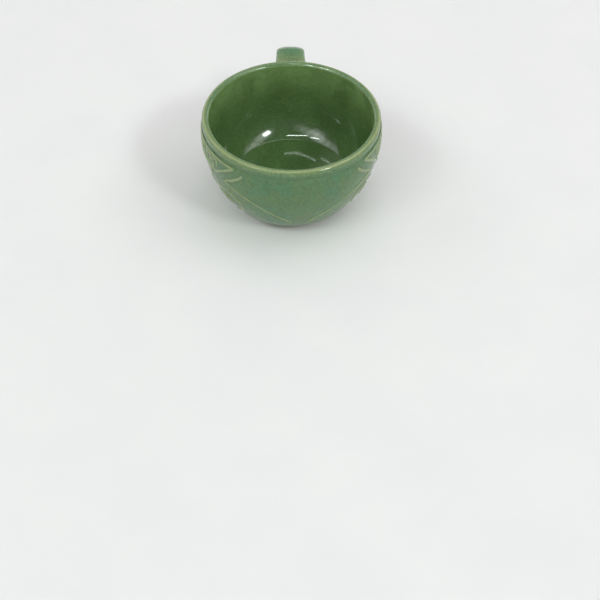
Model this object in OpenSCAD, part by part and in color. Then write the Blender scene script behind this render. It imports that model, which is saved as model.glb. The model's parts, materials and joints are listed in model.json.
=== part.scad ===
// Teacup: a wide glazed stoneware bowl on a low bare foot ring, with one flat strap handle at the
// back and raised lines of trailed slip on both sides. Millimetres, +Z up, the handle towards +Y.
// The origin is the centre of the foot ring's standing face.

/* [Bowl] */
// Height of the cup from the table to the top of the lip
cup_h = 67; // [65:0.5:70]
// Largest outer radius
belly_r = 57.7; // [57.2:0.1:59]
// Depth below the lip of the widest ring
widest_depth = 13; // [12:0.5:14]
// Radius of the outside's upper curve, seen from the side
upper_curve_r = 63; // [60:1:70]
// Depth at which the upper curve hands over to the lower one
curve_change_depth = 25.5; // [24:0.5:27]
// Radius of the outside's lower curve, seen from the side
lower_curve_r = 83; // [78:1:90]
// Radius of the turn from the wall to the underside
heel_curve_r = 12; // [10:0.5:14]
// Radius of the inside's curve, seen from the side
inner_curve_r = 37.2; // [36:0.1:39]
// Depth below the lip at which the inside starts to curve in
inner_curve_depth = 23.2; // [22.5:0.1:24]

/* [Lip] */
// Radius of the mouth and of the straight wall inside it
mouth_r = 52.5; // [52:0.1:52.8]
// Thickness of the rounded lip
lip_t = 4.7; // [4.3:0.1:4.8]
// Depth of the thrown groove under the lip
groove_depth = 6; // [5:0.1:6.5]
// How far the groove is cut in from the lip's outer face
groove_cut = 0.3; // [0.2:0.1:0.6]

/* [Floor] */
// Depth of the floor's edge below the top of the lip
floor_edge_depth = 52.7; // [51:0.1:53.5]
// How much lower the middle of the floor lies than its edge
floor_dish = 3.6; // [2:0.1:4.5]
// Radius of the small fillet between wall and floor
floor_fillet_r = 2.5; // [1.5:0.1:4]

/* [Foot ring] */
// Outer radius of the foot ring
foot_r = 29.5; // [28:0.1:31]
// Width of the foot ring
foot_w = 5; // [4:0.1:6]
// Height of the foot ring
foot_h = 5; // [4.6:0.1:5.5]
// Rounding of the foot ring's standing edges
foot_round = 0.8; // [0.5:0.1:0.9]

/* [Handle] */
// Depth of the strap's top face below the top of the lip
strap_top_depth = 7; // [6:0.5:9]
// Thickness of the strap
strap_t = 6.5; // [6:0.1:7.5]
// Width of the strap at its outer bend
strap_w = 18.8; // [17:0.1:20]
// Extra width of the strap where it nears the wall
strap_spread = 2; // [1:0.1:3]
// Reach of the strap from the cup's axis
handle_reach = 88.8; // [86:0.1:92]
// Radius of the upper bend, at the middle of the strap
upper_bend_r = 8; // [7:0.5:10]
// Radius of the lower bend, at the middle of the strap
lower_bend_r = 14; // [12:0.5:15]
// Height above the table of the middle of the strap's lower arm
lower_arm_z = 24; // [23:0.5:26]
// Turn of the handle about the cup's axis
handle_turn = 1.2; // [-2:0.1:2]
// How far each luted joint spreads beyond the strap, all round
joint_spread = 2.6; // [2:0.1:3.5]
// How far the upper joint's outer end stands off the widest ring
joint_standoff = 7; // [6:0.5:9]

/* [Slip lines] */
// Width of a trailed slip line
slip_w = 1.6; // [1.2:0.1:2]
// Height of a slip line above the wall
slip_h = 0.55; // [0.4:0.05:0.8]
// How deep a slip line's base is bedded in the wall
slip_bed = 0.25; // [0.15:0.05:0.4]
// Turn of the decoration about the cup's axis
pattern_turn = 7.5; // [0:0.5:12]

/* [Hidden] */

glaze = "#6f9160";
thin_glaze = "#93a86c";
bare_clay = "#c9b79a";

// The wall's outer curve. A point on it is named by its depth below the lip. The sine of the
// wall's slope there grows evenly with depth along each arc.
change_sin = (curve_change_depth - widest_depth) / upper_curve_r;
change_cos = sqrt(1 - change_sin * change_sin);
change_r = belly_r - upper_curve_r * (1 - change_cos);
heel_end_sin = sin(80);
underside_depth = cup_h - foot_h;
heel_share = heel_curve_r / lower_curve_r;
heel_start_depth = (underside_depth - heel_curve_r * (heel_end_sin - change_sin)
    - heel_share * curve_change_depth) / (1 - heel_share);

function slope_sin(depth) =
    depth <= curve_change_depth ? (depth - widest_depth) / upper_curve_r
    : depth <= heel_start_depth ? change_sin + (depth - curve_change_depth) / lower_curve_r
    : min(heel_end_sin, slope_sin(heel_start_depth) + (depth - heel_start_depth) / heel_curve_r);
function slope_cos(depth) = sqrt(1 - pow(slope_sin(depth), 2));
function outer_r(depth) =
    depth <= curve_change_depth ? belly_r - upper_curve_r * (1 - slope_cos(depth))
    : depth <= heel_start_depth ? change_r - lower_curve_r * (change_cos - slope_cos(depth))
    : outer_r(heel_start_depth) - heel_curve_r * (slope_cos(heel_start_depth) - slope_cos(depth));

// The inside is straight below the mouth and then one arc down to the floor's edge.
function inner_sin(depth) = max(0, depth - inner_curve_depth) / inner_curve_r;
function inner_r(depth) = mouth_r - inner_curve_r * (1 - sqrt(1 - pow(inner_sin(depth), 2)));

function arc(centre, r, from, to, steps) = [
    for (i = [0 : steps]) let (a = from + (to - from) * i / steps) centre + r * [cos(a), sin(a)]
];
function spread(from, to, steps) = [for (i = [0 : steps]) from + (to - from) * i / steps];

lip_mid_r = mouth_r + lip_t / 2;
lip_z = cup_h - lip_t / 2;
// The lip's outer face ends this far above the groove's middle, the wall starts this far below
groove_above = 1;
groove_below = 1.4;
// The groove's section is a circle centred this far outside the lip's outer face
groove_centre_out = 0.3;
body_start_depth = groove_depth + groove_below;
floor_edge_z = cup_h - floor_edge_depth;
wall_lean = asin(inner_sin(floor_edge_depth));
fillet_run = floor_fillet_r * tan((90 - wall_lean) / 2);
fillet_centre = [inner_r(floor_edge_depth) - fillet_run, floor_edge_z + floor_fillet_r];
last_inner_depth = floor_edge_depth - fillet_run * cos(wall_lean);
dish_r = fillet_centre[0];
dish_curve_r = (dish_r * dish_r + floor_dish * floor_dish) / (2 * floor_dish);
dish_half_angle = asin(dish_r / dish_curve_r);
// The fillet starts where it is a little steeper than the dish's edge
fillet_start_angle = -78;
wall_step = 3;
heel_steps = 6;

bowl_outline = concat(
    // lip, from inside over the top to outside
    arc([lip_mid_r, lip_z], lip_t / 2, 180, 0, 12),
    // thrown groove under the lip
    [[mouth_r + lip_t, cup_h - groove_depth + groove_above]],
    arc([mouth_r + lip_t + groove_centre_out, cup_h - groove_depth],
        groove_cut + groove_centre_out, 130, 230, 5),
    // outer wall
    [for (d = spread(body_start_depth, curve_change_depth, 8)) [outer_r(d), cup_h - d]],
    [for (d = spread(curve_change_depth + wall_step, heel_start_depth, 12))
        [outer_r(d), cup_h - d]],
    [for (i = [1 : heel_steps])
        let (d = heel_start_depth + (underside_depth - heel_start_depth) * sin(90 * i / heel_steps))
        [outer_r(d), cup_h - d]],
    // flat underside, to the axis and up to the dished floor
    [[0, foot_h]],
    arc([0, floor_edge_z - floor_dish + dish_curve_r], dish_curve_r, -90, -90 + dish_half_angle, 8),
    arc(fillet_centre, floor_fillet_r, fillet_start_angle, -wall_lean, 5),
    // inner wall, up to the straight wall under the mouth
    [for (d = spread(last_inner_depth, inner_curve_depth, 18)) [inner_r(d), cup_h - d]]
);

module bowl() {
    color(glaze) rotate_extrude($fn = 144) polygon(bowl_outline);
}

module foot_ring() {
    outline = concat(
        arc([foot_r - foot_round, foot_round], foot_round, 0, -90, 4),
        arc([foot_r - foot_w + foot_round, foot_round], foot_round, -90, -180, 4),
        [[foot_r - foot_w, foot_h], [foot_r, foot_h]]
    );
    color(bare_clay) rotate_extrude($fn = 144) polygon(outline);
}

// A closed skin over rings of points: neighbouring rings are joined. With two end points, each
// end is a fan about its own point. With none, the last ring is joined to the first one.
module skin(rings, end_points = []) {
    n = len(rings[0]);
    count = len(rings);
    is_loop = len(end_points) == 0;
    points = concat([for (ring = rings) each ring], end_points);
    sides = [for (i = [0 : count - (is_loop ? 1 : 2)], j = [0 : n - 1])
        let (k = (j + 1) % n, next = (i + 1) % count)
        each [
            [i * n + j, i * n + k, next * n + j],
            [i * n + k, next * n + k, next * n + j]
        ]];
    fans = is_loop ? [] : [for (j = [0 : n - 1])
        let (k = (j + 1) % n, last = (count - 1) * n)
        each [[count * n, k, j], [count * n + 1, last + j, last + k]]];
    polyhedron(points, concat(sides, fans), convexity = 6);
}

// The strap's cross-section is a rounded oblong, a superellipse between an oval and a rectangle.
strap_sides = 20;
strap_power = 2.4;
function rounded(value) = sign(value) * pow(abs(value), 2 / strap_power);
function strap_section(half_w, half_t) = [
    for (i = [0 : strap_sides - 1])
    let (a = 360 * i / strap_sides) [half_w * rounded(cos(a)), half_t * rounded(sin(a))]
];

// The strap's middle line in the plane of the handle, as [distance from axis, height, direction]
upper_arm_z = cup_h - strap_top_depth - strap_t / 2;
drop_y = handle_reach - strap_t / 2;
upper_bend = [drop_y - upper_bend_r, upper_arm_z - upper_bend_r];
lower_bend = [drop_y - lower_bend_r, lower_arm_z + lower_bend_r];
upper_arm_start = belly_r + joint_standoff;
lower_arm_start = outer_r(cup_h - lower_arm_z) + joint_standoff;
function along(from, to, z_from, z_to, heading, steps) = [
    for (i = [0 : steps]) let (s = i / steps)
        [from + (to - from) * s, z_from + (z_to - z_from) * s, heading]
];
function bend(centre, r, from, to, steps) = [
    for (i = [1 : steps]) let (a = from + (to - from) * i / steps)
        [centre[0] + r * cos(a), centre[1] + r * sin(a), a - 90]
];
strap_step = 2;
strap_line = concat(
    along(upper_arm_start, upper_bend[0], upper_arm_z, upper_arm_z, 0, 5),
    bend(upper_bend, upper_bend_r, 90, 0, 8),
    bend(lower_bend, lower_bend_r, 0, -90, 9),
    along(lower_bend[0] - strap_step, lower_arm_start, lower_arm_z, lower_arm_z, -180, 4)
);
// The strap is widest near the wall and narrows to the outer bend.
function strap_half_w(y) =
    (strap_w + strap_spread * pow(max(0, (drop_y - y) / (drop_y - upper_arm_start)), 2)) / 2;
function strap_ring(p) = [
    for (q = strap_section(strap_half_w(p[0]), strap_t / 2))
        [q[0], p[0] - q[1] * sin(p[2]), p[1] + q[1] * cos(p[2])]
];

module handle() {
    color(glaze) rotate(handle_turn)
        skin([for (p = strap_line) strap_ring(p)],
            [[0, upper_arm_start, upper_arm_z], [0, lower_arm_start, lower_arm_z]]);
}

// A luted joint is the root of an arm, spread and pressed on to the wall. Its inner end follows
// the wall, bedded a little way in.
joint_bed = 1.2;
function on_wall(x, z) = sqrt(pow(outer_r(cup_h - z) - joint_bed, 2) - x * x);
function joint_ring(arm_start, arm_z, s) =
    let (more = joint_spread * pow(1 - s, 2))
    [for (q = strap_section(strap_half_w(arm_start) + more, strap_t / 2 + more))
        let (y = on_wall(q[0], arm_z + q[1])) [q[0], y + (arm_start - y) * s, arm_z + q[1]]];

module luted_joint(arm_start, arm_z) {
    steps = 6;
    color(glaze) rotate(handle_turn)
        skin([for (i = [0 : steps]) joint_ring(arm_start, arm_z, i / steps)],
            [[0, on_wall(0, arm_z), arm_z], [0, arm_start, arm_z]]);
}
module handle_upper_joint() { luted_joint(upper_arm_start, upper_arm_z); }
module handle_lower_joint() { luted_joint(lower_arm_start, lower_arm_z); }

// Slip lines. Each is drawn on the wall through points [degrees from the middle of the side
// towards the front, depth below the lip]. Corners stay sharp on a straight line, and a smooth
// line passes through its points as one curve.
line_step = 2.6;
end_size = 0.55;
mitre_limit = 1.4;
meeting_gap = 0.01;
function wall_gap(a, b) =
    norm([(b[0] - a[0]) * outer_r((a[1] + b[1]) / 2) * PI / 180, b[1] - a[1]]);
function straight_line(points) = [
    for (i = [0 : len(points) - 2])
    let (n = ceil(wall_gap(points[i], points[i + 1]) / line_step))
    for (j = [0 : n - (i == len(points) - 2 ? 0 : 1)])
        points[i] + (points[i + 1] - points[i]) * j / n
];
function curve_at(a, b, c, d, s) =
    (2 * b + (c - a) * s + (2 * a - 5 * b + 4 * c - d) * s * s
        + (3 * b - a - 3 * c + d) * s * s * s) / 2;
function smooth_line(points) =
    let (last = len(points) - 1)
    [for (i = [0 : last - 1])
        let (
            b = points[i],
            c = points[i + 1],
            a = i == 0 ? 2 * b - c : points[i - 1],
            d = i == last - 1 ? 2 * c - b : points[i + 2],
            n = ceil(wall_gap(b, c) / line_step)
        )
        for (j = [0 : n - (i == last - 1 ? 0 : 1)]) curve_at(a, b, c, d, j / n)];

function unit(v) = v / norm(v);
function mean_point(ring) = (ring[0] + ring[2] + ring[4]) / 3;
function wall_point(p, side, lift) =
    let (
        angle = side > 0 ? pattern_turn - p[0] : pattern_turn + 180 + p[0],
        r = outer_r(p[1]) + lift * slope_cos(p[1])
    )
    [r * cos(angle), r * sin(angle), cup_h - p[1] - lift * slope_sin(p[1])];
function wall_normal(p, side) = unit(wall_point(p, side, 1) - wall_point(p, side, 0));

// The bead's section is low and rounded, with its flat base bedded in the wall. Its shoulders are
// these shares of its width and height.
shoulder_across = 0.32;
shoulder_up = 0.72;
function bead_section(size) = [
    [-slip_w / 2 * size, -slip_bed],
    [-slip_w * shoulder_across * size, slip_h * shoulder_up * size],
    [0, slip_h * size],
    [slip_w * shoulder_across * size, slip_h * shoulder_up * size],
    [slip_w / 2 * size, -slip_bed]
];
function bead_ring(middle, heading, mitre, normal, size) =
    let (across = unit(cross(normal, heading)) * mitre)
    [for (q = bead_section(size)) middle + across * q[0] + normal * q[1]];

// One slip line along a path of wall points. A closed path's last point meets its first.
module slip_line(path, side) {
    is_loop = norm(path[0] - path[len(path) - 1]) < meeting_gap;
    count = len(path) - (is_loop ? 1 : 0);
    spots = [for (i = [0 : count - 1]) wall_point(path[i], side, 0)];
    rings = [for (i = [0 : count - 1])
        let (
            before = is_loop ? (i + count - 1) % count : max(0, i - 1),
            after = is_loop ? (i + 1) % count : min(count - 1, i + 1),
            from_before = spots[i] - spots[before],
            to_after = spots[after] - spots[i],
            is_end = before == i || after == i,
            heading = is_end ? unit(from_before + to_after) : unit(unit(from_before) + unit(to_after)),
            turn_cos = is_end ? 1 : heading * unit(to_after)
        )
        bead_ring(spots[i], heading, min(1 / turn_cos, mitre_limit), wall_normal(path[i], side),
            is_end ? end_size : 1)];
    color(thin_glaze) skin(rings, is_loop ? [] : [mean_point(rings[0]), mean_point(rings[count - 1])]);
}

// The decoration of one side, mirrored on the other
panel_frame = [[-44.6, 8], [44.6, 8], [28, 19.6], [-28, 19.6], [-44.6, 8]];
front_key = [
    [29.4, 15.4], [29.4, 10.4], [17, 10.4], [17, 17.5], [25.4, 17.5], [25.4, 12.8], [21, 12.8],
    [21, 15.2]
];
centre_key = [
    [-12.5, 17.5], [-12.5, 10.4], [12.5, 10.4], [12.5, 17.5], [-8.5, 17.5], [-8.5, 12.8],
    [8.5, 12.8], [8.5, 15.2], [-4.5, 15.2]
];
front_hook = [[51.5, 10.3], [49, 13.1], [45.4, 16.1], [41, 19.3], [36.4, 22]];
front_sweep = [
    [35, 22.4], [42.4, 25.3], [50.3, 28.7], [58, 32.6], [64.7, 36.8], [71.8, 41.4], [79, 46.3],
    [84, 50.2]
];
front_curl = [
    [29.5, 56.5], [37, 53.6], [43.4, 48], [45.7, 42.6], [44.4, 37.7], [41, 33.9], [35.9, 31.6],
    [29.5, 32.6], [24, 36], [21, 41.3], [22.7, 46.8], [28, 49.6], [33.5, 47.6], [35.5, 43.4],
    [33.5, 39.7], [29.7, 39.4], [28.2, 42.4], [30.2, 44.5]
];
front_vein = [[22, 23.2], [16.5, 33.5], [13, 45], [12, 56]];
back_curl = [
    [-52, 10], [-47, 14], [-41.5, 19], [-38.5, 25], [-41, 31.5], [-48, 34.5], [-55, 32],
    [-58, 26], [-55.5, 20.7], [-50.5, 20], [-47.7, 23.5], [-49, 27.3], [-52, 27.5]
];
back_sweep = [[-30, 23.5], [-33, 30.5], [-39, 36.5], [-47, 40], [-56, 40.5], [-64, 37.5]];
function turned_back(points) = [for (p = points) [-p[0], p[1]]];

module key(points, side) { slip_line(straight_line(points), side); }
module stroke(points, side) { slip_line(smooth_line(points), side); }

left = -1;
right = 1;
module left_panel_frame() { key(panel_frame, left); }
module left_front_key() { key(front_key, left); }
module left_centre_key() { key(centre_key, left); }
module left_back_key() { key(turned_back(front_key), left); }
module left_front_hook() { stroke(front_hook, left); }
module left_front_sweep() { stroke(front_sweep, left); }
module left_front_curl() { stroke(front_curl, left); }
module left_front_vein() { stroke(front_vein, left); }
module left_back_curl() { stroke(back_curl, left); }
module left_back_sweep() { stroke(back_sweep, left); }
module left_back_vein() { stroke(turned_back(front_vein), left); }
module right_panel_frame() { key(panel_frame, right); }
module right_front_key() { key(front_key, right); }
module right_centre_key() { key(centre_key, right); }
module right_back_key() { key(turned_back(front_key), right); }
module right_front_hook() { stroke(front_hook, right); }
module right_front_sweep() { stroke(front_sweep, right); }
module right_front_curl() { stroke(front_curl, right); }
module right_front_vein() { stroke(front_vein, right); }
module right_back_curl() { stroke(back_curl, right); }
module right_back_sweep() { stroke(back_sweep, right); }
module right_back_vein() { stroke(turned_back(front_vein), right); }

bowl();
foot_ring();
handle();
handle_upper_joint();
handle_lower_joint();
left_panel_frame();
left_front_key();
left_centre_key();
left_back_key();
left_front_hook();
left_front_sweep();
left_front_curl();
left_front_vein();
left_back_curl();
left_back_sweep();
left_back_vein();
right_panel_frame();
right_front_key();
right_centre_key();
right_back_key();
right_front_hook();
right_front_sweep();
right_front_curl();
right_front_vein();
right_back_curl();
right_back_sweep();
right_back_vein();
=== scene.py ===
import json
import math

import bpy
import numpy as np
from mathutils import Matrix, Vector
from mathutils.kdtree import KDTree


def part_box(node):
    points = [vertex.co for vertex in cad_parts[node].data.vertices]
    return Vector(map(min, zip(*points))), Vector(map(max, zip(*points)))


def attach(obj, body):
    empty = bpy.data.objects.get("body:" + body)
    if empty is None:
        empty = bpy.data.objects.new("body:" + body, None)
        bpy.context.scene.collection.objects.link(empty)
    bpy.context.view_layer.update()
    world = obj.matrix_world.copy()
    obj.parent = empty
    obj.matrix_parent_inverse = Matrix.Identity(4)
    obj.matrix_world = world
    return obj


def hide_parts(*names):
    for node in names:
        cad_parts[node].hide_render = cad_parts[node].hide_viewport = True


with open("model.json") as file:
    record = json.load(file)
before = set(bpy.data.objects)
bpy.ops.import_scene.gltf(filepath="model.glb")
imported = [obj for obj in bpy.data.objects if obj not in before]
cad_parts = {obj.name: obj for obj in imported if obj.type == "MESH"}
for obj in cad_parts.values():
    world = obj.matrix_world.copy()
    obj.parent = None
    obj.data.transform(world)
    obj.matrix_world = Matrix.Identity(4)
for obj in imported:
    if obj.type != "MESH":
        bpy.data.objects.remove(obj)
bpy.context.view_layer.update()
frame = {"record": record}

MM = 0.001


# ---------------------------------------------------------------- sizes

def mount(name):
    return next(m for m in frame["record"]["mounts"] if m["name"] == name)


BOWL_LOW, BOWL_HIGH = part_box("bowl")
CUP_H = BOWL_HIGH.z
UNDERSIDE_Z = BOWL_LOW.z
BELLY_R = BOWL_HIGH.x
MOUTH_R = mount("mouth")["dims"]["r_mm"] * MM
FOOT_R = mount("foot_ring_outside")["dims"]["r_mm"] * MM
FOOT_W = 5 * MM
FOOT_INNER_R = FOOT_R - FOOT_W
FOOT_ROUND = 0.8 * MM
# How far the bare clay shows on the underside beside the foot ring
BARE_MARGIN = 2.2 * MM

# The outside, seen from the side, is two arcs and a tight heel
WIDEST_DEPTH = 13 * MM
UPPER_CURVE_R = 63 * MM
CURVE_CHANGE_DEPTH = 25.5 * MM
LOWER_CURVE_R = 83 * MM
HEEL_CURVE_R = 12 * MM
HEEL_END_SIN = math.sin(math.radians(80))
# The inside is straight below the mouth and then one arc
INNER_CURVE_R = 37.2 * MM
INNER_CURVE_DEPTH = 23.2 * MM
LIP_T = 4.7 * MM
# The thrown groove under the lip, and where the wall starts below it
GROOVE_DEPTH = 6 * MM
GROOVE_CUT = 0.3 * MM
GROOVE_HALF_W = 0.9 * MM
BODY_START_DEPTH = 7.4 * MM

FLOOR_EDGE_DEPTH = 52.7 * MM
FLOOR_EDGE_Z = CUP_H - FLOOR_EDGE_DEPTH
FLOOR_DISH = 3.6 * MM
FLOOR_FILLET_R = 2.5 * MM
# The fillet starts where it is a little steeper than the dish's edge
FLOOR_FILLET_START_DEG = -78

# The strap handle
HANDLE_TURN = math.radians(1.2)
STRAP_T = 6.5 * MM
STRAP_W = 18.8 * MM
STRAP_SPREAD = 2 * MM
STRAP_POWER = 2.4
UPPER_BEND_R = 8 * MM
LOWER_BEND_R = 14 * MM
HANDLE_LOW, HANDLE_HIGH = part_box("handle")
UPPER_ARM_Z = HANDLE_HIGH.z - STRAP_T / 2
LOWER_ARM_Z = HANDLE_LOW.z + STRAP_T / 2
HANDLE_REACH = 88.77 * MM
DROP_Y = HANDLE_REACH - STRAP_T / 2
JOINT_STANDOFF = 7 * MM
JOINT_FILLET_R = 3.2 * MM
JOINT_BED = 0.5 * MM

# The raised slip lines
PATTERN_TURN = math.radians(7.5)
SLIP_HALF_W = 1.3 * MM
SLIP_H = 0.55 * MM
SLIP_BED = 0.25 * MM
SLIP_BED_SHARE = 0.9
# A bead's edge lies this far under the wall's surface, so that no gap shows
SLIP_SUNK = 0.03 * MM
SLIP_STEP = 0.45 * MM
SLIP_END_L = 1.4 * MM
SLIP_THIN = 0.72
# Glaze pools in a dark margin beside a slip line: where its middle is, and its half width
SLIP_POOL_AT = 1.5 * MM
SLIP_POOL_HALF_W = 0.8 * MM
SLIP_POOL = 0.3


# ---------------------------------------------------------------- the wall's curve

change_sin = (CURVE_CHANGE_DEPTH - WIDEST_DEPTH) / UPPER_CURVE_R
change_cos = math.sqrt(1 - change_sin ** 2)
change_r = BELLY_R - UPPER_CURVE_R * (1 - change_cos)
underside_depth = CUP_H - UNDERSIDE_Z
heel_share = HEEL_CURVE_R / LOWER_CURVE_R
heel_start_depth = (underside_depth - HEEL_CURVE_R * (HEEL_END_SIN - change_sin)
                    - heel_share * CURVE_CHANGE_DEPTH) / (1 - heel_share)
heel_start_sin = change_sin + (heel_start_depth - CURVE_CHANGE_DEPTH) / LOWER_CURVE_R
heel_start_cos = math.sqrt(1 - heel_start_sin ** 2)
heel_start_r = change_r - LOWER_CURVE_R * (change_cos - heel_start_cos)


def slope_sin(depth):
    """Sine of the wall's slope at a depth below the lip: 0 where the wall is upright."""
    if depth <= CURVE_CHANGE_DEPTH:
        return (depth - WIDEST_DEPTH) / UPPER_CURVE_R
    if depth <= heel_start_depth:
        return change_sin + (depth - CURVE_CHANGE_DEPTH) / LOWER_CURVE_R
    return min(HEEL_END_SIN, heel_start_sin + (depth - heel_start_depth) / HEEL_CURVE_R)


def slope_cos(depth):
    return math.sqrt(1 - slope_sin(depth) ** 2)


def outer_r(depth):
    if depth <= CURVE_CHANGE_DEPTH:
        return BELLY_R - UPPER_CURVE_R * (1 - slope_cos(depth))
    if depth <= heel_start_depth:
        return change_r - LOWER_CURVE_R * (change_cos - slope_cos(depth))
    return heel_start_r - HEEL_CURVE_R * (heel_start_cos - slope_cos(depth))


def inner_sin(depth):
    return max(0.0, depth - INNER_CURVE_DEPTH) / INNER_CURVE_R


def inner_r(depth):
    return MOUTH_R - INNER_CURVE_R * (1 - math.sqrt(1 - inner_sin(depth) ** 2))


def spread(start, end, steps, skip_first=False):
    return [start + (end - start) * i / steps for i in range(1 if skip_first else 0, steps + 1)]


def arc(centre, r, start_deg, end_deg, steps):
    points = []
    for a in spread(start_deg, end_deg, steps):
        a = math.radians(a)
        points.append((centre[0] + r * math.cos(a), centre[1] + r * math.sin(a)))
    return points


def smoothstep(low, high, x):
    t = np.clip((np.asarray(x, float) - low) / (high - low), 0, 1)
    return t * t * (3 - 2 * t)


WALL_WOBBLE = 0.10 * MM


def hand_wobble(angle, z):
    """How far the thrown wall strays from a true circle, in metres, at an angle and height."""
    lobes = (0.6 * np.sin(2 * angle + 0.7) + 0.4 * np.sin(3 * angle + 2.1 + 20 * z)
             + 0.25 * np.sin(5 * angle + 1.3))
    return WALL_WOBBLE * (lobes - 0.5)


# ---------------------------------------------------------------- mesh helpers

def new_piece(name, verts, faces, marks, replaced, smooth_angle=math.radians(50)):
    """A shaded mesh piece. marks holds one number per vertex under each name, which the glaze
    material reads: where the glaze is thin, where it is darker from pooling and painted shade,
    inside the bowl, or missing."""
    mesh = bpy.data.meshes.new(name)
    mesh.from_pydata([tuple(v) for v in verts], [], [tuple(f) for f in faces])
    for mark, values in marks.items():
        layer = mesh.attributes.new(mark, "FLOAT", "POINT")
        layer.data.foreach_set("value", np.asarray(values, np.float32))
    mesh.validate()
    mesh.update()
    mesh.shade_smooth()
    mesh.set_sharp_from_angle(angle=smooth_angle)
    piece = bpy.data.objects.new(name, mesh)
    bpy.context.scene.collection.objects.link(piece)
    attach(piece, "root")
    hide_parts(*replaced)
    return piece


def ring_faces(count, n, closed_along=False):
    """Quads between neighbouring rings of n points each."""
    faces = []
    for i in range(count if closed_along else count - 1):
        a, b = i * n, ((i + 1) % count) * n
        for j in range(n):
            k = (j + 1) % n
            faces.append((a + j, a + k, b + k, b + j))
    return faces


def capped_tube(rings):
    """Vertices and faces of a tube over equal rings, each end closed by a fan."""
    n = len(rings[0])
    verts = [v for ring in rings for v in ring]
    faces = ring_faces(len(rings), n)
    last = (len(rings) - 1) * n
    for ring, start, flip in ((rings[0], 0, True), (rings[-1], last, False)):
        middle = np.mean(np.asarray(ring, float), axis=0)
        verts.append(tuple(middle))
        hub = len(verts) - 1
        for j in range(n):
            k = (j + 1) % n
            if flip:
                faces.append((hub, start + k, start + j))
            else:
                faces.append((hub, start + j, start + k))
    return verts, faces


# ---------------------------------------------------------------- slip line paths

# Points on one side's decoration: degrees from the middle of the side towards the front, and
# millimetres below the lip.
PANEL_FRAME = [(-44.6, 8), (44.6, 8), (28, 19.6), (-28, 19.6), (-44.6, 8)]
FRONT_KEY = [(29.4, 15.4), (29.4, 10.4), (17, 10.4), (17, 17.5), (25.4, 17.5), (25.4, 12.8),
             (21, 12.8), (21, 15.2)]
CENTRE_KEY = [(-12.5, 17.5), (-12.5, 10.4), (12.5, 10.4), (12.5, 17.5), (-8.5, 17.5), (-8.5, 12.8),
              (8.5, 12.8), (8.5, 15.2), (-4.5, 15.2)]
FRONT_HOOK = [(51.5, 10.3), (49, 13.1), (45.4, 16.1), (41, 19.3), (36.4, 22)]
FRONT_SWEEP = [(35, 22.4), (42.4, 25.3), (50.3, 28.7), (58, 32.6), (64.7, 36.8), (71.8, 41.4),
               (79, 46.3), (84, 50.2)]
FRONT_CURL = [(29.5, 56.5), (37, 53.6), (43.4, 48), (45.7, 42.6), (44.4, 37.7), (41, 33.9),
              (35.9, 31.6), (29.5, 32.6), (24, 36), (21, 41.3), (22.7, 46.8), (28, 49.6),
              (33.5, 47.6), (35.5, 43.4), (33.5, 39.7), (29.7, 39.4), (28.2, 42.4), (30.2, 44.5)]
FRONT_VEIN = [(22, 23.2), (16.5, 33.5), (13, 45), (12, 56)]
BACK_CURL = [(-52, 10), (-47, 14), (-41.5, 19), (-38.5, 25), (-41, 31.5), (-48, 34.5), (-55, 32),
             (-58, 26), (-55.5, 20.7), (-50.5, 20), (-47.7, 23.5), (-49, 27.3), (-52, 27.5)]
BACK_SWEEP = [(-30, 23.5), (-33, 30.5), (-39, 36.5), (-47, 40), (-56, 40.5), (-64, 37.5)]


def turned_back(points):
    return [(-u, d) for u, d in points]


# name: (points, whether the line has corners)
SIDE_LINES = {
    "panel_frame": (PANEL_FRAME, True),
    "front_key": (FRONT_KEY, True),
    "centre_key": (CENTRE_KEY, True),
    "back_key": (turned_back(FRONT_KEY), True),
    "front_hook": (FRONT_HOOK, False),
    "front_sweep": (FRONT_SWEEP, False),
    "front_curl": (FRONT_CURL, False),
    "front_vein": (FRONT_VEIN, False),
    "back_curl": (BACK_CURL, False),
    "back_sweep": (BACK_SWEEP, False),
    "back_vein": (turned_back(FRONT_VEIN), False),
}
CORNER_SOFTENING = 3


def wall_point(u, depth, side, lift=0.0):
    """A point on the outer wall, or lift above it. side is -1 on the left and 1 on the right."""
    turn = math.radians(u)
    angle = PATTERN_TURN - turn if side > 0 else PATTERN_TURN + math.pi + turn
    z = CUP_H - depth
    r = outer_r(depth) + hand_wobble(angle, z) + lift * slope_cos(depth)
    return Vector((r * math.cos(angle), r * math.sin(angle), z - lift * slope_sin(depth)))


def wall_gap(a, b):
    mean_r = outer_r((a[1] + b[1]) / 2 * MM)
    return math.hypot(math.radians(b[0] - a[0]) * mean_r, (b[1] - a[1]) * MM)


def curve_at(a, b, c, d, s):
    """A smooth curve's point between b and c, with a before and d after."""
    return (2 * b + (c - a) * s + (2 * a - 5 * b + 4 * c - d) * s ** 2
            + (3 * b - a - 3 * c + d) * s ** 3) / 2


def fine_path(points, has_corners):
    """The line through the points, as close steps of about SLIP_STEP."""
    p = [np.array(q, float) for q in points]
    is_loop = bool(np.allclose(p[0], p[-1]))
    path = []
    for i in range(len(p) - 1):
        b, c = p[i], p[i + 1]
        a = p[i - 1] if i > 0 else 2 * b - c
        d = p[i + 2] if i + 2 < len(p) else 2 * c - b
        n = max(2, math.ceil(wall_gap(b, c) / SLIP_STEP))
        for j in range(n):
            s = j / n
            path.append(b + (c - b) * s if has_corners else curve_at(a, b, c, d, s))
    if not is_loop:
        path.append(p[-1])
    path = np.array(path)
    if has_corners:
        # a trailed line can't turn a sharp corner, so each corner is eased a little
        for _ in range(CORNER_SOFTENING):
            if is_loop:
                path = path / 2 + (np.roll(path, 1, 0) + np.roll(path, -1, 0)) / 4
            else:
                path[1:-1] = path[1:-1] / 2 + (path[2:] + path[:-2]) / 4
    return path, is_loop


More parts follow.
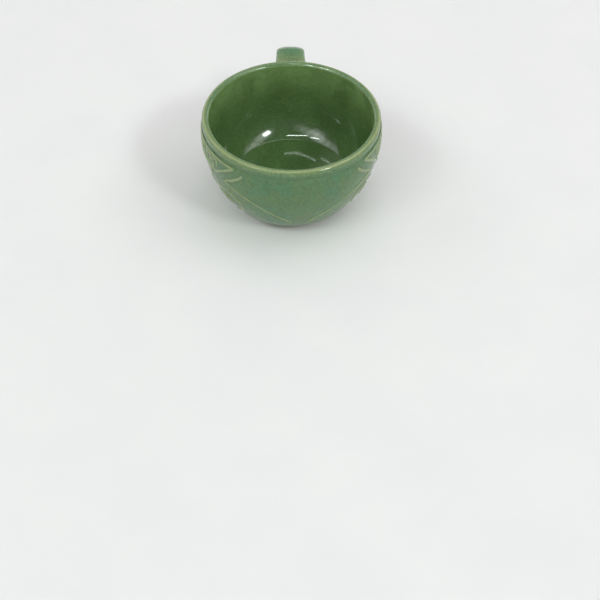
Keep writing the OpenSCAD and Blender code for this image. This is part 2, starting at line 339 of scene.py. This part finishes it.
line_paths = {}
for side_name, side in (("left", -1), ("right", 1)):
    for line_name, (points, has_corners) in SIDE_LINES.items():
        path, is_loop = fine_path(points, has_corners)
        line_paths[side_name + "_" + line_name] = (path, is_loop, side)


# ---------------------------------------------------------------- the bowl

BOWL_STEPS_ROUND = 540
# The marks thin, teal, inside, outside and bare on each face of the wall
INNER_MARKS = (0, 0, 1, 0, 0)
OUTER_MARKS = (0, 0, 0, 1, 0)
# Where round the lip the glaze is thinnest, from 0 outwards to 180 inwards
LIP_CREST_DEG = 60
LIP_CREST_HALF_DEG = 18
LIP_THIN = 0.35
# The thin glaze comes in, and the inside's colour goes out, over these degrees of the lip
LIP_THIN_FROM, LIP_THIN_TO = 178, 150
LIP_INSIDE_TO, LIP_INSIDE_FROM = 135, 178
LIP_TEAL_DEG = 125
LIP_TEAL_HALF_DEG = 30
LIP_TEAL = 0.6
# Where the lip is a little flatter, and by how much
LIP_FLAT_DEG = 135
LIP_FLAT_HALF_DEG = 14
LIP_FLAT = 0.07 * MM
# How far the rows of the wall stop short of the lip's round, inside and outside
LIP_GAP_INSIDE = 0.2 * MM
LIP_GAP_OUTSIDE = 0.25 * MM
LIP_WOBBLE = 0.08 * MM
# How dark the painted shade is in the groove under the lip
GROOVE_SHADE = 0.4
# Inside, the glaze is darkened with painted shade from the first depth below the lip to the second
INSIDE_SHADE_START_DEPTH = 5 * MM
INSIDE_SHADE_FULL_DEPTH = 40 * MM


def bowl_outline():
    """The outline from the middle of the floor, up the inside, over the lip, down the outside
    and in to the middle of the underside: rows of radius, height and the marks thin, teal,
    inside, outside and bare."""
    lean_sin = inner_sin(FLOOR_EDGE_DEPTH)
    lean = math.degrees(math.asin(lean_sin))
    run = FLOOR_FILLET_R * math.tan(math.radians(90 - lean) / 2)
    dish_r = inner_r(FLOOR_EDGE_DEPTH) - run
    rows = []
    # dished floor, from its middle
    for r in spread(0, dish_r, 24)[:-1]:
        rows.append([r, FLOOR_EDGE_Z - FLOOR_DISH * (1 - (r / dish_r) ** 2), *INNER_MARKS])
    for r, z in arc((dish_r, FLOOR_EDGE_Z + FLOOR_FILLET_R), FLOOR_FILLET_R,
                    FLOOR_FILLET_START_DEG, -lean, 10):
        rows.append([r, z, *INNER_MARKS])
    # inner wall, curved and then straight up to the lip
    last_depth = FLOOR_EDGE_DEPTH - run * math.sqrt(1 - lean_sin ** 2)
    for d in spread(last_depth, INNER_CURVE_DEPTH, 70, skip_first=True):
        rows.append([inner_r(d), CUP_H - d, *INNER_MARKS])
    lip_z = CUP_H - LIP_T / 2
    for z in spread(CUP_H - INNER_CURVE_DEPTH, lip_z - LIP_GAP_INSIDE, 24, skip_first=True):
        rows.append([MOUTH_R, z, *INNER_MARKS])
    # rounded lip
    lip_mid_r = MOUTH_R + LIP_T / 2
    for deg in spread(180, 0, 48):
        a = math.radians(deg)
        crest = math.exp(-((deg - LIP_CREST_DEG) / LIP_CREST_HALF_DEG) ** 2)
        # the glaze settles a little flatter on the inner shoulder
        flat = LIP_FLAT * math.exp(-((deg - LIP_FLAT_DEG) / LIP_FLAT_HALF_DEG) ** 2)
        round_r = LIP_T / 2 - flat
        thin = LIP_THIN + (1 - LIP_THIN) * crest
        rows.append([lip_mid_r + round_r * math.cos(a), lip_z + round_r * math.sin(a),
                     thin * float(smoothstep(LIP_THIN_FROM, LIP_THIN_TO, deg)),
                     LIP_TEAL * math.exp(-((deg - LIP_TEAL_DEG) / LIP_TEAL_HALF_DEG) ** 2),
                     float(smoothstep(LIP_INSIDE_TO, LIP_INSIDE_FROM, deg)), 0, 0])
    # groove under the lip, a soft hollow that swells into the belly
    lip_r = MOUTH_R + LIP_T
    for d in spread(LIP_T / 2 + LIP_GAP_OUTSIDE, BODY_START_DEPTH, 14):
        hollow = GROOVE_CUT * math.exp(-((d - GROOVE_DEPTH) / GROOVE_HALF_W) ** 2)
        thin = LIP_THIN * float(smoothstep(GROOVE_DEPTH - MM, LIP_T / 2, d))
        swell = float(smoothstep(GROOVE_DEPTH, BODY_START_DEPTH, d))
        rows.append([lip_r + (outer_r(BODY_START_DEPTH) - lip_r) * swell - hollow, CUP_H - d,
                     thin, 0, 0, 1, 0])
    # outer wall and heel
    for d in (spread(BODY_START_DEPTH, heel_start_depth, 105, skip_first=True)
              + spread(heel_start_depth, underside_depth, 12, skip_first=True)):
        rows.append([outer_r(d), CUP_H - d, *OUTER_MARKS])
    # underside, bare round the foot ring and glazed again inside it
    for r in spread(outer_r(underside_depth), FOOT_INNER_R, 16, skip_first=True):
        rows.append([r, UNDERSIDE_Z, 0, 0, 0, 0, 1 if r < FOOT_R + BARE_MARGIN else 0])
    for r in spread(FOOT_INNER_R, 0, 10, skip_first=True)[:-1]:
        rows.append([r, UNDERSIDE_Z, 0, 0, 0, 0, 0])
    return np.array(rows)


def line_distances(points):
    """Distance from each point to the nearest slip line's middle."""
    spots = [wall_point(u, d * MM, side) for path, _, side in line_paths.values() for u, d in path]
    tree = KDTree(len(spots))
    for i, spot in enumerate(spots):
        tree.insert(spot, i)
    tree.balance()
    return np.array([tree.find(p)[2] for p in points])


def make_bowl():
    outline = bowl_outline()
    n = BOWL_STEPS_ROUND
    angles = np.linspace(0, 2 * math.pi, n, endpoint=False)
    body = outline[1:]
    r = body[:, 0][:, None] + np.zeros(n)
    z = body[:, 1][:, None] + np.zeros(n)
    reach = np.clip(body[:, 0] / MOUTH_R, 0, 1)[:, None] ** 2
    above = smoothstep(UNDERSIDE_Z, UNDERSIDE_Z + 4 * MM, body[:, 1])[:, None]
    r = r + hand_wobble(angles[None, :], z) * reach * above
    # the lip's height strays a little too
    near_lip = smoothstep(CUP_H - 12 * MM, CUP_H, body[:, 1])[:, None]
    z = z + near_lip * LIP_WOBBLE * (np.sin(2 * angles + 2.0) - 1)[None, :]
    grid = np.stack([r * np.cos(angles), r * np.sin(angles), z], -1).reshape(-1, 3)
    marks = np.repeat(body[:, 2:7], n, axis=0)
    verts = np.vstack([grid, [[0, 0, outline[0, 1]], [0, 0, UNDERSIDE_Z]]])
    marks = np.vstack([marks, outline[0, 2:7], np.zeros(5)])
    count = len(body)
    faces = [tuple(reversed(f)) for f in ring_faces(count, n)]
    floor_hub, under_hub = len(grid), len(grid) + 1
    last = (count - 1) * n
    for j in range(n):
        k = (j + 1) % n
        faces.append((floor_hub, j, k))
        faces.append((under_hub, last + k, last + j))

    outside = marks[:, 3] > 0.5
    beside = np.zeros(len(verts))
    gap = line_distances(verts[outside])
    beside[outside] = np.exp(-((gap - SLIP_POOL_AT) / SLIP_POOL_HALF_W) ** 2)
    depth = CUP_H - verts[:, 2]
    in_groove = outside * np.exp(-((depth - GROOVE_DEPTH) / GROOVE_HALF_W) ** 2)
    # painted shade inside the bowl, deepening towards the floor
    inside_shade = marks[:, 2] * smoothstep(INSIDE_SHADE_START_DEPTH, INSIDE_SHADE_FULL_DEPTH, depth)
    # darker glaze: pooled beside the slip lines, and painted shade in the groove and down the
    # inside
    pool_and_shade = np.maximum(np.maximum(SLIP_POOL * beside, GROOVE_SHADE * in_groove), inside_shade)
    return new_piece("bowl_glazed", verts, faces,
                     {"thin": marks[:, 0], "teal": marks[:, 1], "pool_and_shade": pool_and_shade,
                      "inside": marks[:, 2], "bare": marks[:, 4]},
                     ["bowl"])


def make_foot_ring():
    n = 360
    outline = ([(FOOT_R, z) for z in spread(UNDERSIDE_Z, FOOT_ROUND, 8)]
               + arc((FOOT_R - FOOT_ROUND, FOOT_ROUND), FOOT_ROUND, 0, -90, 6)[1:]
               + [(r, 0.0) for r in spread(FOOT_R - FOOT_ROUND, FOOT_INNER_R + FOOT_ROUND, 6)][1:-1]
               + arc((FOOT_INNER_R + FOOT_ROUND, FOOT_ROUND), FOOT_ROUND, -90, -180, 6)
               + [(FOOT_INNER_R, z) for z in spread(FOOT_ROUND, UNDERSIDE_Z, 8)][1:]
               + [(r, UNDERSIDE_Z) for r in spread(FOOT_INNER_R, FOOT_R, 6)][1:-1])
    verts = []
    for r, z in outline:
        for j in range(n):
            a = 2 * math.pi * j / n
            # faint turning marks and a hand-trimmed face
            ripple = 0.05 * MM * math.sin(z / MM * 5.5 + 0.8 * math.sin(a)) * (r > FOOT_R - 1e-6)
            x = r + ripple * float(smoothstep(0, MM, z)) * float(1 - smoothstep(4 * MM, 5 * MM, z))
            verts.append((x * math.cos(a), x * math.sin(a), z))
    faces = ring_faces(len(outline), n, closed_along=True)
    return new_piece("foot_ring_bare", verts, faces, {}, ["foot_ring"])


# ---------------------------------------------------------------- the handle

STRAP_SIDES = 56
# How thin the glaze is on the strap, how much lighter the strap is painted near the wall, and how
# much thinner the glaze is on its edges
STRAP_THIN = 0.2
NEAR_WALL_LIGHTER = 0.2
EDGE_THIN = 0.15
upper_bend = (DROP_Y - UPPER_BEND_R, UPPER_ARM_Z - UPPER_BEND_R)
lower_bend = (DROP_Y - LOWER_BEND_R, LOWER_ARM_Z + LOWER_BEND_R)
upper_arm_start = BELLY_R + JOINT_STANDOFF
lower_arm_start = outer_r(CUP_H - LOWER_ARM_Z) + JOINT_STANDOFF


def strap_section(half_w, half_t):
    """The strap's section, a superellipse: rows of [across, outward]."""
    rows = []
    for i in range(STRAP_SIDES):
        a = 2 * math.pi * i / STRAP_SIDES
        c, s = math.cos(a), math.sin(a)
        rows.append((half_w * math.copysign(abs(c) ** (2 / STRAP_POWER), c),
                     half_t * math.copysign(abs(s) ** (2 / STRAP_POWER), s)))
    return rows


def strap_half_w(y):
    near_wall = max(0.0, (DROP_Y - y) / (DROP_Y - upper_arm_start))
    return (STRAP_W + STRAP_SPREAD * near_wall ** 2) / 2


def strap_edge():
    """How thin the glaze runs round the strap's section: 1 on its four rounded edges."""
    marks = []
    for i in range(STRAP_SIDES):
        a = 2 * math.pi * i / STRAP_SIDES
        corner = abs(math.cos(a)) ** 0.5 * abs(math.sin(a)) ** 0.5 * 2 ** 0.5
        marks.append(float(smoothstep(0.86, 1.0, corner)))
    return marks


def strap_line():
    """The strap's middle line: rows of (distance from axis, height, heading in radians)."""
    rows = [(y, UPPER_ARM_Z, 0.0) for y in spread(upper_arm_start, upper_bend[0], 16)]
    for a in spread(90, 0, 26, skip_first=True):
        t = math.radians(a)
        rows.append((upper_bend[0] + UPPER_BEND_R * math.cos(t),
                     upper_bend[1] + UPPER_BEND_R * math.sin(t), t - math.pi / 2))
    for z in spread(upper_bend[1], lower_bend[1], 12, skip_first=True):
        rows.append((DROP_Y, z, -math.pi / 2))
    for a in spread(0, -90, 30, skip_first=True):
        t = math.radians(a)
        rows.append((lower_bend[0] + LOWER_BEND_R * math.cos(t),
                     lower_bend[1] + LOWER_BEND_R * math.sin(t), t - math.pi / 2))
    for y in spread(lower_bend[0], lower_arm_start, 12, skip_first=True):
        rows.append((y, LOWER_ARM_Z, -math.pi))
    return rows


def turned(verts):
    turn = Matrix.Rotation(HANDLE_TURN, 3, "Z")
    return [tuple(turn @ Vector(v)) for v in verts]


def make_handle():
    rings, thin, teal = [], [], []
    for y, z, heading in strap_line():
        half_w = strap_half_w(y)
        near_wall = float(smoothstep(DROP_Y - UPPER_BEND_R, upper_arm_start - 4 * MM, y))
        teal += [1 - near_wall] * STRAP_SIDES
        rings.append([(q[0], y - q[1] * math.sin(heading), z + q[1] * math.cos(heading))
                      for q in strap_section(half_w, STRAP_T / 2)])
        # the strap is painted lighter and creamier near the wall
        thin += [STRAP_THIN + NEAR_WALL_LIGHTER * near_wall + EDGE_THIN * e for e in strap_edge()]
    verts, faces = capped_tube(rings)
    return new_piece("handle_glazed", turned(verts), faces,
                     {"thin": thin + [0, 0], "teal": teal + [0, 0]}, ["handle"])


def on_wall(x, z):
    """How far out a joint's inner end lies at a place on the wall, a little inside it."""
    return math.sqrt((outer_r(CUP_H - z) - JOINT_BED) ** 2 - x * x)


def make_joint(node, arm_start, arm_z):
    """The root of an arm, spread in a fillet on to the wall."""
    steps = 22
    half_w, half_t = strap_half_w(arm_start), STRAP_T / 2
    rings, thin = [], []
    for i in range(steps + 1):
        # the rings lie closest at the wall, where the fillet turns most
        s = (i / steps) ** 1.6
        ring, ring_thin = [], []
        for q, edge in zip(strap_section(1.0, 1.0), strap_edge()):
            foot = on_wall(q[0] * half_w, arm_z + q[1] * half_t)
            away = s * (arm_start - foot)
            rest = max(0.0, 1 - away / JOINT_FILLET_R)
            more = JOINT_FILLET_R * (1 - math.sqrt(max(0.0, 1 - rest * rest)))
            x, z = q[0] * (half_w + more), arm_z + q[1] * (half_t + more)
            y = on_wall(x, z) * (1 - s) + arm_start * s
            ring.append((x, y, z))
            # lighter near the wall, as on the strap
            ring_thin.append((STRAP_THIN + NEAR_WALL_LIGHTER + EDGE_THIN * edge)
                             * float(smoothstep(0.15, 0.5, s)))
        rings.append(ring)
        thin += ring_thin
    verts, faces = capped_tube(rings)
    return new_piece(node + "_glazed", turned(verts), faces, {"thin": thin + [0, 0]},
                     [node])


# ---------------------------------------------------------------- slip lines as beads

BEAD_TOP_STEPS = 12


def bead_profile(across, size):
    """Height of the bead above the wall at across = -1 to 1. Its skirt feathers into the wall."""
    return size * SLIP_H * math.cos(across * math.pi / 2) ** 1.5 - SLIP_SUNK


def make_slip_line(name, path, is_loop, side):
    count = len(path)
    spots = [wall_point(u, d * MM, side) for u, d in path]
    rings, thin = [], []
    travelled = 0.0
    gaps = [(spots[i + 1] - spots[i]).length for i in range(count - 1)]
    total = sum(gaps)
    for i, (u, d) in enumerate(path):
        before = spots[(i - 1) % count] if is_loop else spots[max(0, i - 1)]
        after = spots[(i + 1) % count] if is_loop else spots[min(count - 1, i + 1)]
        heading = (after - before).normalized()
        normal = (wall_point(u, d * MM, side, MM) - spots[i]).normalized()
        across = normal.cross(heading).normalized()
        # the trailer's pressure varies, and a free end is round
        width = SLIP_HALF_W * (1 + 0.10 * math.sin(travelled * 310 + 1.7 * side)
                               + 0.05 * math.sin(travelled * 900 + count))
        size = 1.0
        if not is_loop:
            left = min(travelled, total - travelled) / SLIP_END_L
            size = math.sqrt(max(0.0, 1 - (1 - min(1.0, left + 0.06)) ** 2))
        ring = []
        for k in range(BEAD_TOP_STEPS + 1):
            t = -1 + 2 * k / BEAD_TOP_STEPS
            lift = bead_profile(t, size)
            ring.append(spots[i] + across * (t * width * size) + normal * lift)
            crest = math.cos(t * math.pi / 2) ** 2
            thin.append(SLIP_THIN * float(smoothstep(0.0, 0.5, crest)) * size)
        for t in (1, -1):
            ring.append(spots[i] + across * (t * width * size * SLIP_BED_SHARE) - normal * SLIP_BED)
            thin.append(0.0)
        rings.append([tuple(v) for v in ring])
        if i < count - 1:
            travelled += gaps[i]
    if is_loop:
        verts = [v for ring in rings for v in ring]
        faces = ring_faces(count, len(rings[0]), closed_along=True)
    else:
        verts, faces = capped_tube(rings)
        thin += [0.0, 0.0]
    return new_piece(name + "_line", verts, faces, {"thin": thin}, [name],
                     smooth_angle=math.radians(80))


# ---------------------------------------------------------------- materials

class Nodes:
    """A short way to build the node tree of a material or a world. Most calls add a node and
    return an output socket."""

    def __init__(self, owner, place="Object"):
        self.owner = owner
        owner.use_nodes = True
        self.tree = owner.node_tree
        self.tree.nodes.clear()
        self.place = self.add("ShaderNodeTexCoord").outputs[place]

    def add(self, kind, **settings):
        node = self.tree.nodes.new(kind)
        for key, value in settings.items():
            setattr(node, key, value)
        return node

    def feed(self, socket, value):
        if isinstance(value, bpy.types.NodeSocket):
            self.tree.links.new(value, socket)
        else:
            socket.default_value = value

    def noise(self, size, detail=2.0, roughness=0.5, distortion=0.0):
        """Soft noise whose features are about size across, from 0 to 1."""
        node = self.add("ShaderNodeTexNoise")
        self.feed(node.inputs["Vector"], self.place)
        self.feed(node.inputs["Scale"], 1 / size)
        self.feed(node.inputs["Detail"], detail)
        self.feed(node.inputs["Roughness"], roughness)
        self.feed(node.inputs["Distortion"], distortion)
        return node.outputs["Fac"]

    def span(self, value, low, high, to_low=0.0, to_high=1.0):
        """value from low..high mapped smoothly to to_low..to_high."""
        node = self.add("ShaderNodeMapRange", interpolation_type="SMOOTHSTEP")
        self.feed(node.inputs["Value"], value)
        self.feed(node.inputs["From Min"], low)
        self.feed(node.inputs["From Max"], high)
        self.feed(node.inputs["To Min"], to_low)
        self.feed(node.inputs["To Max"], to_high)
        return node.outputs["Result"]

    def math(self, operation, a, b=0.0):
        node = self.add("ShaderNodeMath", operation=operation)
        self.feed(node.inputs[0], a)
        self.feed(node.inputs[1], b)
        return node.outputs[0]

    def mix(self, share, a, b):
        node = self.add("ShaderNodeMix", data_type="RGBA")
        self.feed(node.inputs["Factor"], share)
        self.feed(node.inputs["A"], a)
        self.feed(node.inputs["B"], b)
        return node.outputs["Result"]

    def mark(self, name):
        return self.add("ShaderNodeAttribute", attribute_name=name).outputs["Fac"]

    def bump(self, height, distance, strength):
        node = self.add("ShaderNodeBump")
        self.feed(node.inputs["Height"], height)
        self.feed(node.inputs["Distance"], distance)
        self.feed(node.inputs["Strength"], strength)
        return node.outputs["Normal"]

    def finish(self, colour, roughness, normal, ior=1.5):
        shader = self.add("ShaderNodeBsdfPrincipled")
        self.feed(shader.inputs["Base Color"], colour)
        self.feed(shader.inputs["Roughness"], roughness)
        self.feed(shader.inputs["Normal"], normal)
        shader.inputs["IOR"].default_value = ior
        self.feed(self.add("ShaderNodeOutputMaterial").inputs["Surface"], shader.outputs[0])
        return self.owner


def rgb(r, g, b):
    return (r, g, b, 1.0)


GREEN = rgb(0.076, 0.172, 0.064)
BLUE_GREEN = rgb(0.056, 0.190, 0.092)
OLIVE = rgb(0.108, 0.180, 0.052)
# Painted light: a lighter copy of the glaze for the inside, standing in for light falling on the
# inner walls
LIT_INSIDE_GREEN = rgb(0.240, 0.374, 0.126)
# Dark green for glaze pooled beside slip lines, for painted shade in the groove and inside, and for
# mottling
POOL_AND_SHADE_GREEN = rgb(0.040, 0.086, 0.026)
PALE_FLECK = rgb(0.160, 0.270, 0.120)
DARK_FLECK = rgb(0.034, 0.084, 0.030)
CREAM = rgb(0.262, 0.322, 0.140)
CLAY = rgb(0.500, 0.400, 0.290)
CLAY_DARK = rgb(0.390, 0.300, 0.210)
IRON_GRAIN = rgb(0.20, 0.14, 0.09)
GLAZE_IOR = 1.55
CLAY_IOR = 1.45


def glaze_material():
    """Glossy celadon. It is olive and blue-green in soft clouds, finely flecked, and breaks to
    cream where it runs thin over an edge or a slip line."""
    n = Nodes(bpy.data.materials.new("celadon_glaze"))
    cloud = n.span(n.noise(28 * MM, detail=3, roughness=0.6, distortion=0.5), 0.35, 0.65)
    blotch = n.span(n.noise(6 * MM, detail=4, roughness=0.65, distortion=0.3), 0.36, 0.66)
    teal = n.math("MAXIMUM", n.math("MULTIPLY", blotch, 0.7), n.mark("teal"))
    inside = n.mark("inside")
    # the inside gets a lighter copy of the green: painted light on the inner walls
    colour = n.mix(n.math("MULTIPLY", inside, 0.75), n.mix(teal, GREEN, BLUE_GREEN), LIT_INSIDE_GREEN)
    colour = n.mix(n.math("MULTIPLY", cloud, 0.5), colour, OLIVE)
    # darkened where glaze pools beside the slip lines, and with painted shade in the groove and
    # inside
    colour = n.mix(n.math("MULTIPLY", n.mark("pool_and_shade"), 0.76), colour, POOL_AND_SHADE_GREEN)

    mottle = n.span(n.noise(2.6 * MM, detail=3, roughness=0.6), 0.40, 0.70)
    mottle = n.math("MULTIPLY", mottle, n.span(inside, 0, 1, 0.35, 0.20))
    colour = n.mix(mottle, colour, POOL_AND_SHADE_GREEN)

    # broad darker patches inside the bowl
    shade = n.span(n.noise(15 * MM, detail=3, distortion=0.6), 0.45, 0.70)
    colour = n.mix(n.math("MULTIPLY", shade, n.span(inside, 0, 1, 0.0, 0.28)), colour, POOL_AND_SHADE_GREEN)

    # fine flecks, pale where crystals formed and dark where iron came through
    pale = n.span(n.noise(1.2 * MM, detail=3, roughness=0.7), 0.50, 0.66)
    colour = n.mix(n.math("MULTIPLY", pale, 0.30), colour, PALE_FLECK)
    dark = n.span(n.noise(1.0 * MM, detail=2, roughness=0.6), 0.52, 0.70)
    colour = n.mix(n.math("MULTIPLY", dark, n.span(inside, 0, 1, 0.50, 0.22)), colour, DARK_FLECK)

    # the thin glaze's edge wanders, as the glaze flowed
    wander = n.span(n.noise(1.6 * MM, detail=3), 0.3, 0.7, -0.12, 0.12)
    cream = n.span(n.math("ADD", n.mark("thin"), wander), 0.05, 1.0)
    colour = n.mix(cream, colour, CREAM)

    # the bare margin beside the foot ring, with a wavy edge
    bare = n.span(n.math("ADD", n.mark("bare"), n.span(n.noise(3 * MM), 0.3, 0.7, -0.2, 0.2)),
                  0.45, 0.55)
    colour = n.mix(bare, colour, CLAY)

    roughness = n.span(n.noise(6 * MM, detail=2), 0.3, 0.7, 0.035, 0.055)
    roughness = n.math("MAXIMUM", roughness, n.math("MULTIPLY", bare, 0.8))
    ripple = n.noise(9 * MM, detail=1, roughness=0.4)
    normal = n.bump(ripple, 0.1 * MM, 0.04)
    return n.finish(colour, roughness, normal, GLAZE_IOR)


def clay_material():
    """Bare fired stoneware: warm buff, gritty and dry, with darker iron grains."""
    n = Nodes(bpy.data.materials.new("bare_stoneware"))
    cloud = n.span(n.noise(7 * MM, detail=3), 0.35, 0.65)
    colour = n.mix(cloud, CLAY, CLAY_DARK)
    grain = n.span(n.noise(0.5 * MM, detail=2), 0.60, 0.72)
    colour = n.mix(n.math("MULTIPLY", grain, 0.5), colour, IRON_GRAIN)
    roughness = n.span(n.noise(1.5 * MM), 0.3, 0.7, 0.72, 0.92)
    grit = n.noise(0.35 * MM, detail=3, roughness=0.6)
    normal = n.bump(grit, 0.12 * MM, 0.6)
    return n.finish(colour, roughness, normal, CLAY_IOR)


# ---------------------------------------------------------------- stage, light and camera

def floor_material():
    n = Nodes(bpy.data.materials.new("pale_paper"))
    cloud = n.span(n.noise(60 * MM, detail=3), 0.3, 0.7)
    colour = n.mix(cloud, rgb(0.79, 0.79, 0.795), rgb(0.81, 0.81, 0.81))
    roughness = n.span(n.noise(4 * MM), 0.3, 0.7, 0.55, 0.65)
    normal = n.bump(n.noise(1.5 * MM, detail=3), 0.05 * MM, 0.3)
    return n.finish(colour, roughness, normal)


def make_floor():
    half = 2.2
    mesh = bpy.data.meshes.new("floor")
    mesh.from_pydata([(-half, -half, 0), (half, -half, 0), (half, half, 0), (-half, half, 0)],
                     [], [(0, 1, 2, 3)])
    floor = bpy.data.objects.new("floor", mesh)
    bpy.context.scene.collection.objects.link(floor)
    floor.data.materials.append(floor_material())


AIM = Vector((0, 0.03, 0.04))
LIGHT_DISTANCE = 2.2


def panel(name, start, end, breadth_deg, share, colour):
    """A soft panel of light that spans two directions seen from the cup. share is how much of
    the floor's light it gives, where 1 is all of it."""
    start, end = (Vector(d).normalized() * LIGHT_DISTANCE for d in (start, end))
    out = ((start + end) / 2).normalized()
    along = (end - start).normalized()
    along = (along - out * along.dot(out)).normalized()
    data = bpy.data.lights.new(name, "AREA")
    data.shape = "RECTANGLE"
    data.size = (end - start).length
    data.size_y = math.radians(breadth_deg) * LIGHT_DISTANCE
    distance = ((start + end) / 2).length
    data.energy = 4 * math.pi * share * distance ** 2 / out.z
    data.color = colour
    light = bpy.data.objects.new(name, data)
    turn = Matrix((along, out.cross(along), out)).transposed().to_4x4()
    light.matrix_world = Matrix.Translation(AIM + (start + end) / 2) @ turn
    bpy.context.scene.collection.objects.link(light)


BACKDROP = 0.82
# The room's light in front of the cup, and how much more comes from behind it and from low down
ROOM_FRONT = 0.24
ROOM_BEHIND = 0.38
ROOM_LOW = 0.95
ROOM_BRIGHT_SIDE = (-0.1, 0.99, 0)
ROOM_COLOUR = rgb(0.985, 0.945, 0.955)
WINDOW_COLOUR = rgb(0.94, 0.99, 0.97)
TUBE_COLOUR = (0.88, 1.0, 0.92)


def make_windows():
    """Rows of soft round glows that make up the two windows, as (direction, half angle in
    degrees, radiance)."""
    glows = []

    def row(start, end, half_deg, strengths):
        start, end = Vector(start).normalized(), Vector(end).normalized()
        for i, strength in enumerate(strengths):
            share = i / (len(strengths) - 1)
            glows.append((start.slerp(end, share), half_deg, strength))

    # the right window's bright core, the glow round it, and its spread to the right
    row((0.53, -0.56, 0.67), (0.58, -0.49, 0.68), 5, (24, 24))
    row((0.50, -0.60, 0.66), (0.68, -0.30, 0.69), 9, (1.0, 1.2, 1.0, 0.8))
    row((0.56, -0.50, 0.68), (0.76, 0.14, 0.66), 11, (1.1, 1.1, 1.0, 1.0, 0.9))
    # the left window's brighter middle and its whole width
    row((-0.53, -0.57, 0.62), (-0.63, -0.45, 0.62), 9, (1.8, 1.5))
    row((-0.19, -0.76, 0.64), (-0.84, 0.25, 0.56), 11, (0.8, 1.4, 2.3, 2.6, 1.8, 1.2, 1.0, 1.1))
    return glows


def make_world():
    """A soft room with its two windows. The camera sees only a pale backdrop."""
    n = Nodes(bpy.data.worlds.new("studio"), "Generated")

    def nearness(towards):
        node = n.add("ShaderNodeVectorMath", operation="DOT_PRODUCT")
        n.feed(node.inputs[0], n.place)
        n.feed(node.inputs[1], towards)
        return node.outputs["Value"]

    def background(colour, strength):
        node = n.add("ShaderNodeBackground")
        n.feed(node.inputs["Color"], colour)
        n.feed(node.inputs["Strength"], strength)
        return node.outputs[0]

    behind = n.span(nearness(ROOM_BRIGHT_SIDE), -0.3, 0.7, 0.0, ROOM_BEHIND)
    low = n.span(nearness((0, 0, 1)), 0.42, 0.08, 0.0, ROOM_LOW)
    room = n.math("ADD", n.math("ADD", behind, ROOM_FRONT), low)
    glow = 0.0
    for towards, half_deg, strength in make_windows():
        edge = math.cos(math.radians(half_deg))
        glow = n.math("ADD", glow, n.span(nearness(towards), edge, 1.0, 0.0, strength))

    both = n.add("ShaderNodeAddShader")
    n.feed(both.inputs[0], background(ROOM_COLOUR, room))
    n.feed(both.inputs[1], background(WINDOW_COLOUR, glow))
    mix = n.add("ShaderNodeMixShader")
    n.feed(mix.inputs[0], n.add("ShaderNodeLightPath").outputs["Is Camera Ray"])
    n.feed(mix.inputs[1], both.outputs[0])
    n.feed(mix.inputs[2], background(rgb(1, 1, 1), BACKDROP))
    n.feed(n.add("ShaderNodeOutputWorld").inputs["Surface"], mix.outputs[0])
    bpy.context.scene.world = n.owner


def make_lights():
    """A large soft panel overhead and two ceiling tubes in front."""
    panel("overhead", (-0.10, 0.06, 0.98), (0.76, 0.06, 0.65), 28, 0.16, (1, 1, 1))
    panel("tube_near", (0.11, -0.55, 0.83), (-0.34, -0.52, 0.78), 0.9, 0.060, TUBE_COLOUR)
    panel("tube_far", (-0.40, -0.46, 0.79), (-0.57, -0.37, 0.73), 0.9, 0.026, TUBE_COLOUR)


# The camera stands in front of the cup, looking down at it. These were found by matching the
# seen shape of the lip and the body.
CAMERA_PLACE = (6.9 * MM, -700.85 * MM, CUP_H + 561.33 * MM)
CAMERA_PITCH = math.radians(46.263)
CAMERA_ROLL = math.radians(0.708)
CAMERA_LENS_MM = 84


def make_camera():
    data = bpy.data.cameras.new("camera")
    data.sensor_width = 36
    data.lens = CAMERA_LENS_MM
    data.clip_start, data.clip_end = 0.05, 20
    camera = bpy.data.objects.new("camera", data)
    look = Matrix.Rotation(math.pi / 2 - CAMERA_PITCH, 4, "X")
    roll = Matrix.Rotation(CAMERA_ROLL, 4, "Z")
    camera.matrix_world = Matrix.Translation(CAMERA_PLACE) @ look @ roll
    bpy.context.scene.collection.objects.link(camera)
    bpy.context.scene.camera = camera


# ---------------------------------------------------------------- the scene

make_camera()
pieces = [make_bowl(), make_handle(),
          make_joint("handle_upper_joint", upper_arm_start, UPPER_ARM_Z),
          make_joint("handle_lower_joint", lower_arm_start, LOWER_ARM_Z)]
for line, (path, is_loop, side) in line_paths.items():
    pieces.append(make_slip_line(line, path, is_loop, side))
glaze = glaze_material()
for piece in pieces:
    piece.data.materials.append(glaze)
make_foot_ring().data.materials.append(clay_material())
make_floor()
make_lights()
make_world()
bpy.context.scene.view_settings.view_transform = "Standard"
